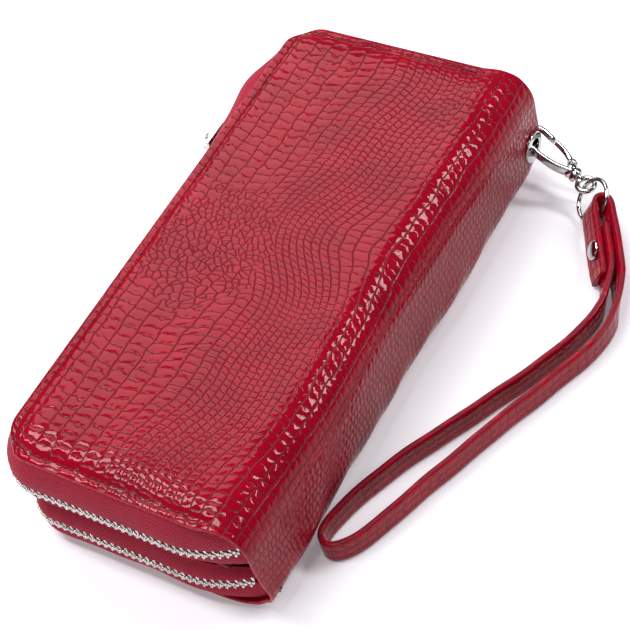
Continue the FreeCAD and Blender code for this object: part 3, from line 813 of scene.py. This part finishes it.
def scale_attributes(s, y):
    away = ((s - pebble_s - 22) / 26) ** 2 + ((y - pebble_y) / 30) ** 2
    bulge = 7.0 * np.exp(-away) * np.sin((y - pebble_y) / 16.0)
    middle = np.exp(-(((s - 58) / 24) ** 2))
    wander = middle * (4.5 * np.sin(y / 19.0 + 0.6) + 1.5 * np.sin(y / 7.5)) + 1.2 * np.sin(y / 33.0)
    s_drawn = s + wander + bulge
    row = y + middle * (3.0 * np.sin(s / 9.0) + 2.0 * np.sin(y / 23.0)) + 1.0 * np.sin(s / 14.0)
    spot = np.exp(-(((s - pebble_s) / 24) ** 2 + ((y - pebble_y) / 27) ** 2) ** 1.5)
    return {
        "column": np.interp(s_drawn, fine_s, fine_column),
        "wide": np.interp(s_drawn, fine_s, fine_width),
        "row": row + 200.0,
        "across": s_drawn,
        "pebble": spot,
    }


# %% [markdown]
# The sheet has a back face and a rounded, turned edge. The two covers fold at the spine, so the
# sheet is made in two pieces that meet in the spine's middle band. Both take their normals from
# the whole sheet, so the joint between them doesn't show.

# %% The leather cover
step_mm = 0.8
s_line = np.linspace(edge_round, wrap_run - edge_round, int(wrap_run / step_mm))
y_line = np.linspace(near + edge_round, far - edge_round, int((far - near) / step_mm))
s_grid, y_grid = np.meshgrid(s_line, y_line, indexing="ij")
sheet = leather_field(s_grid, y_grid)
sheet_normal = unit(np.cross(np.gradient(sheet, axis=0), np.gradient(sheet, axis=1)))
eyelet_low, eyelet_high = box_mm("eyelet_barrel")
eyelet_spot = (eyelet_low + eyelet_high) / 2
eyelet_hole = 4.6


def leather_piece(name, first, last, going):
    """One stretch of the sheet, with its back and its turned edge on three sides."""
    face_points = sheet[first : last + 1]
    face_normals = sheet_normal[first : last + 1]
    rows, columns = face_points.shape[:2]
    numbers = np.arange(rows * columns).reshape(rows, columns)
    if going > 0:
        path = np.concatenate([numbers[::-1, 0], numbers[0, 1:-1], numbers[:, -1]])
    else:
        path = np.concatenate([numbers[:, 0], numbers[-1, 1:-1], numbers[::-1, -1]])
    points = face_points.reshape(-1, 3)
    normals = face_normals.reshape(-1, 3)
    edge = points[path]
    edge_normal = normals[path]
    outward = unit(going * np.cross(edge_normal, unit(np.gradient(edge, axis=0))))
    loops, loop_normals = [], []
    for angle in np.linspace(0, math.pi, 8)[1:-1]:
        way = edge_normal * math.cos(angle) + outward * math.sin(angle)
        loops.append(edge - edge_normal * edge_round + way * edge_round)
        loop_normals.append(way)
    back = points - normals * sheet_thick
    all_points = np.concatenate([points, *loops, back])
    all_normals = np.concatenate([normals, *loop_normals, -normals])
    faces = [grid_faces(rows, columns)]
    back_start = len(points) + len(loops) * len(path)
    faces.append(grid_faces(rows, columns, back_start, True))
    chain = [path]
    chain += [len(points) + k * len(path) + np.arange(len(path)) for k in range(len(loops))]
    chain.append(back_start + path)
    for one, two in zip(chain[:-1], chain[1:]):
        quads = np.stack([one[:-1], two[:-1], two[1:], one[1:]], -1)
        faces.append(quads[:, ::-1] if going > 0 else quads)
    faces = np.concatenate(faces)
    spots = all_points[faces].mean(1)
    away = np.hypot(spots[:, 1] - eyelet_spot[1], spots[:, 2] - eyelet_spot[2])
    faces = faces[~((away < eyelet_hole) & (spots[:, 0] > right - 5))]
    s_all = s_grid[first : last + 1].ravel()
    y_all = y_grid[first : last + 1].ravel()
    s_all = np.concatenate([s_all, np.tile(s_all[path], len(loops)), s_all])
    y_all = np.concatenate([y_all, np.tile(y_all[path], len(loops)), y_all])
    attributes = scale_attributes(s_all, y_all)
    # The turned edge is marked for the lighter rim colour, a painted highlight along the edge.
    rim = np.zeros(len(all_points))
    rim[len(points) : back_start] = 1.0
    attributes["rim"] = rim
    return make_piece(name, all_points, faces, leather, attributes, all_normals)


lower_crease_z = box_mm("lower_roll_leather")[1][2]
upper_crease_z = roll_low[2]
band_middle = flat_run + arc_run + (top - roll_radius - (upper_crease_z + lower_crease_z) / 2)
meeting = int(np.argmin(np.abs(s_line - band_middle)))
upper_cover = leather_piece("upper_cover_leather", 0, meeting, 1)
lower_cover = leather_piece("lower_cover_leather", meeting, len(s_line) - 1, -1)
middle_y = (near + far) / 2
middle_y * MM
middle_y * MM
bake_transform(upper_cover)
middle_y * MM
middle_y * MM
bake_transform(lower_cover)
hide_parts("upper_panel_leather", "upper_roll_leather", "spine_band_leather")
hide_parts("lower_panel_leather", "lower_roll_leather")
print("cover leather points:", len(upper_cover.data.vertices) + len(lower_cover.data.vertices))


# %% [markdown]
# A stitch is a short length of thread that rises out of one hole and goes down the next. Each
# row is one mesh of small bent rods laid end to end along the seam.


# %% Stitching
def thread_row(name, line, lift, pitch, length, radius):
    """Stitches along a line of points, each standing slightly off along lift."""
    gone = distances(line)
    points, faces = [], []
    sides, rings = 8, 7
    tube = np.array(tube_faces(rings, sides))
    for start in np.arange(pitch * 0.3, gone[-1] - length, pitch):
        where = start + length * np.linspace(0, 1, rings)
        spots = read_off(line, gone, where)
        up = unit(read_off(lift, gone, where))
        forward = unit(np.gradient(spots, axis=0))
        aside = unit(np.cross(forward, up))
        bow = np.sin(np.linspace(0, math.pi, rings))
        thick = radius * (0.35 + 0.65 * np.sqrt(bow))
        circle = np.linspace(0, 2 * math.pi, sides, endpoint=False)
        body = (
            (spots + up * (bow * radius * 1.1 - radius * 0.2)[:, None])[:, None, :]
            + aside[:, None, :] * (np.cos(circle)[None, :, None] * thick[:, None, None])
            + up[:, None, :] * (np.sin(circle)[None, :, None] * thick[:, None, None])
        )
        faces.append(tube + len(points) * rings * sides)
        points.append(body.reshape(-1, 3))
    return make_piece(name, np.concatenate(points), np.concatenate(faces), thread)


def seam_line(spots):
    """Points and normals of the leather's face at flat coordinates."""
    s, y = (np.array(c, float) for c in zip(*spots))
    here = leather_field(s, y)
    ds = leather_field(s + 0.3, y) - here
    dy = leather_field(s, y + 0.3) - here
    return here, unit(np.cross(ds, dy))


inset = edge_round + seam_inset
finely = 0.8
low_y, high_y = near + inset, far - inset
run_end = roll_start - left - 3
u_seam = [(s, low_y) for s in np.arange(run_end, inset, -finely)]
u_seam += [(inset, y) for y in np.arange(low_y, high_y, finely)]
u_seam += [(s, high_y) for s in np.arange(inset, run_end, finely)]
for cover, body in (("upper", "upper_cover"), ("lower", "lower_half")):
    spots = u_seam if cover == "upper" else [(wrap_run - s, y) for s, y in u_seam]
    line, lift = seam_line(spots)
    row = thread_row(cover + "_cover_stitches", line, lift, 2.6, 2.0, 0.24)
    settle(row, body, "croc_leather")
low_roll = flat_run + arc_run + face_run
line, lift = seam_line([(s, near + 5.4) for s in np.arange(low_roll + 2, wrap_run - flat_run - 6, finely)])
settle(thread_row("spine_stitches", line, lift, 3.4, 2.6, 0.28), "lower_half", "croc_leather")
for number, y_from in enumerate((54.5, 64.0)):
    line, lift = seam_line([(inset + 0.5, y) for y in np.arange(y_from, y_from + 7, finely)])
    settle(thread_row(f"back_tack_{number}", line, lift, 1.5, 1.4, 0.34), "upper_cover", "croc_leather")
line, lift = seam_line([(s, high_y - 0.5) for s in np.arange(run_end - 8, run_end, finely)])
settle(thread_row("back_tack_far", line, lift, 1.5, 1.4, 0.34), "upper_cover", "croc_leather")
print("points along each cover's seam:", len(u_seam))

# %% [markdown]
# Each zip has two woven tapes. A tape is sewn in under the cover's edge and stands out in a soft
# belly towards its row of teeth; at the spine both tapes tuck in and rise into the fold. The same
# outline serves for tape and teeth: near end, corner, long side, corner, far end. The table
# below gives, for each tape, its body, the heights of its sewn root and of its chain, how far
# the chain is past the cover's side and ends, the belly, and the height of its zip's middle.


# %% The zips' outline
chain_end = 41.5


def outline(side_out, end_out, step=1.0, flare=0.0):
    """Points round three sides, past the cover by side_out and end_out, flared on the long side."""
    line_left = left - side_out
    reach = (far - near) / 2 + end_out
    radius = cover_corner
    middle = (far + near) / 2
    straight = np.arange(0, chain_end - line_left - radius, step)
    arc = np.linspace(0, math.pi / 2, int(radius * 1.57 / step) + 2)
    side = np.linspace(-reach + radius, reach - radius, int(2 * (reach - radius) / step))
    x = [chain_end - straight, line_left + radius - radius * np.sin(arc)]
    y = [np.full(len(straight), -reach), -reach + radius - radius * np.cos(arc)]
    x += [np.full(len(side), line_left), (line_left + radius - radius * np.sin(arc))[::-1]]
    y += [side, (reach - radius + radius * np.cos(arc))[::-1]]
    x.append((chain_end - straight)[::-1])
    y.append(np.full(len(straight), reach))
    line = np.stack([np.concatenate(x), np.concatenate(y) + middle], -1)
    tuck = np.clip((line[:, 0] - 17) / 24, 0, 1)
    line[:, 1] -= np.sign(line[:, 1]) * 6.0 * tuck ** 2
    on_side = np.clip(1 - (line[:, 0] - line_left) / 10, 0, 1)
    from_near = np.clip((line[:, 1] - near) / 40, 0, 1)
    by_slider = np.exp(-(((line[:, 1] - 63) / 28) ** 2))
    line[:, 0] -= on_side * flare * (1.0 + 2.4 * from_near + 3.7 * by_slider)
    return line, tuck


def resample(line, count):
    gone = distances(line)
    where = np.linspace(0, gone[-1], count)
    return read_off(line, gone, where), where


tape_thick = 0.8
zips = {
    "lower_zip_bottom": ("lower_half", 1.4, 9.5, 0.8, 0.8, 1.2, 10.5),
    "lower_zip_top": ("middle", 19.4, 11.5, 0.8, 0.8, 0.9, 10.5),
    "upper_zip_bottom": ("middle", 21.8, 28.0, 2.6, 1.2, 0.9, 29.0),
    "upper_zip_top": ("upper_cover", 45.2, 30.0, 2.6, 1.2, 1.6, 29.0),
}


def zip_rise(tuck):
    """How far a tape climbs into the fold where it tucks in."""
    return 4.5 * tuck ** 1.5


print("rows of teeth to make:", len(zips))

# %% [markdown]
# A tape could be a flat ribbon, but on the real wallet it is sewn in fuller than its run, so it
# stands out in a belly. Each tape is a grid from its sewn root to its chain, pushed outwards in
# the middle, with a second grid behind it for the cloth's thickness.


# %% The tapes
def tape_piece(name, body, root_z, chain_z, side_out, end_out, belly):
    count = 520
    root_line, root_tuck = outline(-1.6, -1.6)
    flare = 1.0 if "upper_zip" in name else 0.0
    chain_line, chain_tuck = outline(side_out, end_out, 1.0, flare)
    root, _ = resample(np.column_stack([root_line, root_tuck]), count)
    chain, along = resample(np.column_stack([chain_line, chain_tuck]), count)
    heading = unit(np.gradient(chain[:, :2], axis=0))
    out = np.stack([-heading[:, 1], heading[:, 0]], -1)
    out *= np.sign((out * (chain[:, :2] - np.array([0.0, middle_y]))).sum(1))[:, None]
    rows = 15
    share = np.linspace(0, 1, rows)
    puff = np.full(count, belly)
    if name == "upper_zip_top":
        puff = puff + 3.4 * np.exp(-(((chain[:, 1] - 74) / 13) ** 2)) * (chain[:, 0] < left + 8)
    puff = puff + 0.25 * np.sin(along / 9.0) + 0.15 * np.sin(along / 3.7)
    ease = np.sin(share * math.pi) ** 0.8
    toward = (share ** 0.8)[None, :, None]
    flat = root[:, None, :2] * (1 - toward) + chain[:, None, :2] * toward
    flat = flat + out[:, None, :] * (puff[:, None] * ease[None, :])[:, :, None]
    rise = zip_rise(chain[:, 2])
    height = root_z + (chain_z - root_z) * share[None, :] + rise[:, None] * share[None, :]
    outer = np.concatenate([flat, height[:, :, None]], -1)
    normal = unit(np.cross(np.gradient(outer, axis=0), np.gradient(outer, axis=1)))
    facing = np.sign((normal[:, :, :2] * out[:, None, :]).sum(-1).mean())
    normal = normal * facing
    inner = outer - normal * tape_thick
    points = np.concatenate([outer.reshape(-1, 3), inner.reshape(-1, 3)])
    numbers = np.arange(count * rows).reshape(count, rows)
    second = numbers + count * rows
    flip = facing < 0
    faces = [grid_faces(count, rows, 0, flip), grid_faces(count, rows, count * rows, not flip)]
    ring = border_of(numbers)
    after = np.roll(ring, -1)
    sides = np.stack([ring, after, after + count * rows, ring + count * rows], -1)
    faces.append(sides[:, ::-1] if flip else sides)
    up = np.broadcast_to(np.abs(chain_z - root_z) * share[None, :], (count, rows)).ravel()
    attributes = {
        "row": np.tile(np.repeat(along, rows), 2),
        "across": np.tile(up, 2),
    }
    piece = make_piece(name + "_cloth", points, np.concatenate(faces), tape_cloth, attributes)
    settle(piece, body, "zip_tape", name + "_tape")


for name, (body, root_z, chain_z, side_out, end_out, belly, _) in zips.items():
    tape_piece(name, body, root_z, chain_z, side_out, end_out, belly)
print("tapes:", len(zips))


# %% [markdown]
# A metal tooth is a little fork that is pressed onto the tape's edge, with a head that sits
# between the heads of the opposite row. One tooth is modelled and repeated along the outline,
# with the opposite row turned over and moved half a pitch.


# %% The teeth
def rounded_block(low, high, bevel):
    """Corner-rounded block as points and faces."""
    work = bmesh.new()
    bmesh.ops.create_cube(work, size=1.0)
    low, high = np.array(low), np.array(high)
    for vert in work.verts:
        vert.co = Vector((low + high) / 2 + np.array(vert.co) * (high - low))
    bmesh.ops.bevel(work, geom=work.edges[:], offset=bevel, segments=2, affect="EDGES", profile=0.5)
    work.verts.ensure_lookup_table()
    points = np.array([v.co for v in work.verts])
    faces = [[v.index for v in f.verts] for f in work.faces]
    work.free()
    return points, faces


tooth_parts = [
    rounded_block((-0.48, -1.10, 1.05), (0.48, 0.95, 2.75), 0.36),
    rounded_block((-0.42, -0.95, -0.75), (0.42, 0.75, 1.3), 0.26),
    rounded_block((-0.52, 0.20, -1.15), (0.52, 1.25, 0.45), 0.38),
]
tooth_pitch = 2.7
row_margin = 2.0
for name, (body, root_z, chain_z, side_out, end_out, belly, centre_z) in zips.items():
    above = root_z > chain_z
    line, tuck = outline(side_out - 0.4, end_out - 0.4, 0.5, 1.0 if "upper_zip" in name else 0.0)
    packed, along = resample(np.column_stack([line, tuck]), 1600)
    offset = 0.0 if above else tooth_pitch / 2
    points, faces = [], []
    base = 0
    for where in np.arange(row_margin + offset, along[-1] - row_margin, tooth_pitch):
        x, y, lift = (np.interp(where, along, packed[:, k]) for k in range(3))
        x2, y2 = (np.interp(where + 0.4, along, packed[:, k]) for k in range(2))
        way = np.array([x2 - x, y2 - y])
        way = way / np.linalg.norm(way)
        out = np.array([way[1], -way[0]])
        out *= np.sign(out @ np.array([x, y - middle_y]) or 1.0)
        if abs(y) > abs(near) - 8 and x > left + cover_corner:
            out = np.array([0.0, np.sign(y)])
        sign = 1.0 if above else -1.0
        for block, quads in tooth_parts:
            placed = np.empty_like(block)
            placed[:, 0] = x + way[0] * block[:, 0] + out[0] * block[:, 1]
            placed[:, 1] = y + way[1] * block[:, 0] + out[1] * block[:, 1]
            placed[:, 2] = centre_z + zip_rise(lift) + sign * block[:, 2]
            points.append(placed)
            faces += [[base + k for k in quad] for quad in quads]
            base += len(block)
    row = make_piece(name + "_metal_row", np.concatenate(points), faces, nickel, turn_out=True)
    settle(row, body, "zip_teeth", name + "_teeth")
    print(name, "teeth:", len(points) // len(tooth_parts))

# %% [markdown]
# The upper zip's slider rides on the flared chain, so its casting and its pull stand further out
# than the frame's own, by the same distance as the chain.

# %% The upper slider
stands_out = 6.6
outward = Vector((-stands_out * MM, 0, 0))
for node in ("upper_slider_body", "upper_pull_tab"):
    cast = frame["nodes"][node]
    mesh = cast.data.copy()
    for vert in mesh.vertices:
        vert.co = cast.matrix_world @ vert.co + outward
    standing = bpy.data.objects.new(node + "_cast", mesh)
    bpy.context.scene.collection.objects.link(standing)
    soften(standing, 0.6)
    settle(standing, body_of_node[node], "zip_metal", node)
print("the upper slider stands out by, mm:", stands_out)

# %% [markdown]
# Inside, the linings and pockets are thin sewn panels. Each one takes its place from the frame
# and becomes a slightly uneven panel with a rounded edge and a pressed line round its border.
# The covers' boards and padding are made the same way, because they dip with the leather.


# %% Linings and pockets
def soft_panel(node, material, corner, slot, waviness=0.06):
    """A thin panel. One that belongs to a cover dips with the cover's padded edge."""
    low, high = box_mm(node)
    dips = {"upper": -1.0, "lower": 1.0}.get(node.split("_")[0], 0.0)
    thick = high[2] - low[2]
    edge = thick / 2
    nx = int((high[0] - low[0]) / 2.0) + 2
    ny = int((high[1] - low[1]) / 2.0) + 2
    x, y = np.meshgrid(
        np.linspace(low[0] + edge, high[0] - edge, nx),
        np.linspace(low[1] + edge, high[1] - edge, ny),
        indexing="ij",
    )
    cx, cy = (low[0] + high[0]) / 2, (low[1] + high[1]) / 2
    hx, hy = (high[0] - low[0]) / 2 - edge, (high[1] - low[1]) / 2 - edge
    a = np.abs(x - cx) - (hx - corner)
    b = np.abs(y - cy) - (hy - corner)
    ra, rb = round_corner(a, b, corner)
    square = (x > cx) & (corner > 4)
    x_in = np.where(square, x, cx + np.sign(x - cx) * (hx - corner + ra))
    y_in = np.where(square, y, cy + np.sign(y - cy) * (hy - corner + rb))
    wave = waviness * (np.sin(x / 6.0 + y / 11.0) + np.sin(y / 7.0 - x / 9.0)) / 2
    border = np.minimum(np.minimum(x - low[0], high[0] - x), np.minimum(y - low[1], high[1] - y))
    dip = 0.12 * np.exp(-(((border - 2.0) / 0.8) ** 2))
    fall = swell(*near_fall, y - near) + swell(*far_fall, far - y) + swell(*side_fall, x - left)
    wave = wave + dips * np.maximum(fall, 0)
    top_z = high[2] - waviness + wave - dip
    low_z = low[2] + waviness + wave + dip
    upper = np.stack([x_in, y_in, top_z], -1).reshape(-1, 3)
    lower = np.stack([x_in, y_in, low_z], -1).reshape(-1, 3)
    numbers = np.arange(nx * ny).reshape(nx, ny)
    ring = border_of(numbers)
    centre = (upper[ring] + lower[ring]) / 2
    forward = unit(np.roll(centre, -1, 0) - np.roll(centre, 1, 0))
    out = np.stack([forward[:, 1], -forward[:, 0], np.zeros(len(ring))], -1)
    rim = centre + out * edge
    points = np.concatenate([upper, lower, rim])
    faces = [grid_faces(nx, ny), grid_faces(nx, ny, nx * ny, True)]
    after = np.roll(np.arange(len(ring)), -1)
    start = 2 * nx * ny
    edge_row = start + np.arange(len(ring))
    under = nx * ny + ring
    faces.append(np.stack([ring, edge_row, start + after, ring[after]], -1))
    faces.append(np.stack([edge_row, under, under[after], start + after], -1))
    attributes = {"row": points[:, 1], "across": points[:, 0]}
    piece = make_piece(node + "_sewn", points, np.concatenate(faces), material, attributes)
    settle(piece, body_of_node[node], slot, node)


for node in ("lower_lining", "upper_lining", "divider_lining_bottom", "divider_lining_top"):
    soft_panel(node, lining_cloth, cover_corner - 3.0, "lining_fabric", 0.04)
for cover in ("lower", "upper"):
    soft_panel(cover + "_board", board_card, cover_corner - 3.0, "board", 0.02)
    soft_panel(cover + "_padding", foam, cover_corner - 3.5, "padding", 0.05)
for node in frame["nodes"]:
    if "card_pocket" in node or "slip_pocket" in node:
        soft_panel(node, pocket_skin, 2.5, "pocket_leather")


# %% [markdown]
# At the spine a folded cloth gusset joins each cover to the divider.


# %% Gussets
def gusset(name, node, low_z, high_z, x_mid):
    low, high = box_mm(node)
    rows, columns = 24, 120
    z = np.linspace(low_z, high_z, rows)
    y = np.linspace(low[1], high[1], columns)
    zz, yy = np.meshgrid(z, y, indexing="ij")
    share = (zz - low_z) / (high_z - low_z)
    bow = np.sin(share * math.pi)
    x = x_mid + 3.5 * bow ** 1.2 + 0.25 * np.sin(yy / 6.0) * bow
    front = np.stack([x, yy, zz], -1)
    back = front + np.array([0.5, 0.0, 0.0])
    points = np.concatenate([front.reshape(-1, 3), back.reshape(-1, 3)])
    count = rows * columns
    numbers = np.arange(count).reshape(rows, columns)
    ring = border_of(numbers)
    after = np.roll(ring, -1)
    faces = [
        grid_faces(rows, columns),
        grid_faces(rows, columns, count, True),
        np.stack([ring, ring + count, after + count, after], -1),
    ]
    attributes = {"row": points[:, 1], "across": points[:, 2]}
    piece = make_piece(name, points, np.concatenate(faces), lining_cloth, attributes)
    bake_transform(piece)
    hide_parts(node)


gusset("lower_gusset_cloth", "lower_gusset", 4.6, 19.4, 33.6)
gusset("upper_gusset_cloth", "upper_gusset", 21.8, 43.4, 33.6)
print("both gussets are in")

# %% [markdown]
# The wallet lies on a white table under one large soft light behind it, whose reflection veils
# the flat top, and two narrow ones that show as bright bands along the spine and the near edge.
# Two weak fills lift the shadows. The table glows a little near the wallet, so that it stays
# white there, and less further off. Patent leather shows its lights, so their places matter
# more than their strength.

# %% Table and lights
table = bpy.data.meshes.new("table")
table_half = 3
corners = [(-1, -1), (1, -1), (1, 1), (-1, 1)]
table.from_pydata([(x * table_half, y * table_half, 0) for x, y in corners], [], [(0, 1, 2, 3)])
table_top = bpy.data.objects.new("table", table)
paper = Finish("white table")
where = paper.node("ShaderNodeTexCoord").outputs["Object"]
away = paper.node("ShaderNodeVectorMath", {"operation": "LENGTH"}, {0: where}).outputs["Value"]
lit = paper.colours(Value(paper, away).rise(0.18, 0.6), rgb(0.95, 0.95, 1.0), rgb(0.12, 0.12, 0.13))
fibre = paper.noise(40.0)
white = paper.colours(fibre, rgb(0.82, 0.82, 0.86), rgb(0.80, 0.80, 0.84))
paper = paper.paint(
    Base_Color=white, Roughness=fibre.between(0.65, 0.75), Emission_Color=lit, Emission_Strength=0.16
)
table.materials.append(paper)
bpy.context.scene.collection.objects.link(table_top)
table_top.location.z = -0.0003


def soft_light(name, toward, distance, wide, tall, power):
    """A soft box that faces the wallet from a direction."""
    light = bpy.data.lights.new(name, "AREA")
    light.shape = "RECTANGLE"
    light.size, light.size_y = wide, tall
    light.energy = power
    holder = bpy.data.objects.new(name, light)
    way = Vector(toward).normalized()
    holder.location = way * distance
    along = (Vector((1, 0, 0)) - way * way.x).normalized()
    turn = Matrix((along, way.cross(along), way)).transposed()
    holder.rotation_mode = "QUATERNION"
    holder.rotation_quaternion = turn.to_quaternion()
    bpy.context.scene.collection.objects.link(holder)


soft_light("veil box", (-0.47, 0.47, 0.76), 1.2, 0.78, 0.78, 6.9)
soft_light("spine strip", (0.68, 0.59, 0.9), 1.28, 0.8, 0.17, 10.0)
soft_light("near strip", (-0.28, -0.10, 0.9), 1.1, 0.95, 0.2, 10.5)
soft_light("camera fill", (0.5, -0.45, 0.75), 1.6, 0.5, 0.5, 1.5)
soft_light("left fill", (-0.6, -0.75, 0.35), 1.3, 0.9, 0.5, 5.0)
world = bpy.data.worlds.new("studio")
bpy.context.scene.world = world
world.use_nodes = True
world.node_tree.nodes["Background"].inputs["Color"].default_value = rgb(0.93, 0.93, 0.96)
world.node_tree.nodes["Background"].inputs["Strength"].default_value = 0.10
bpy.context.scene.view_settings.view_transform = "Standard"
print("lights:", len(bpy.data.lights))
